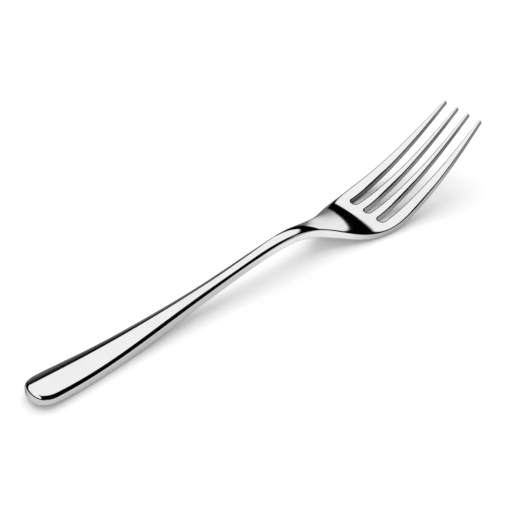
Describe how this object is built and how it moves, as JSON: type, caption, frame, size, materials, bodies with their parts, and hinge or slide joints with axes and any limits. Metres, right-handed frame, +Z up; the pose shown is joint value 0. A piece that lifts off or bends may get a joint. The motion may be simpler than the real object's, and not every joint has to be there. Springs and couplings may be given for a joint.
{
  "type": "dinner fork",
  "caption": "Mirror-polished stainless steel dinner fork with an arched neck, a dished head and slim curved tines.",
  "frame": {"origin": "on the table that the fork lies on, at the middle of its length and width", "axes": "+X from the end of the handle to the tips of the tines, +Y to the left seen from the handle, +Z up from the table, out of the hollow side of the head"},
  "size_m": [0.2058, 0.0284, 0.0275],
  "materials": {
    "polished_steel": "mirror-polished stainless steel with fine handling marks"
  },
  "bodies": {
    "root": {"handle": "polished_steel", "neck": "polished_steel", "root": "polished_steel", "tine_1": "polished_steel", "tine_2": "polished_steel", "tine_3": "polished_steel", "tine_4": "polished_steel"}
  },
  "joints": []
}
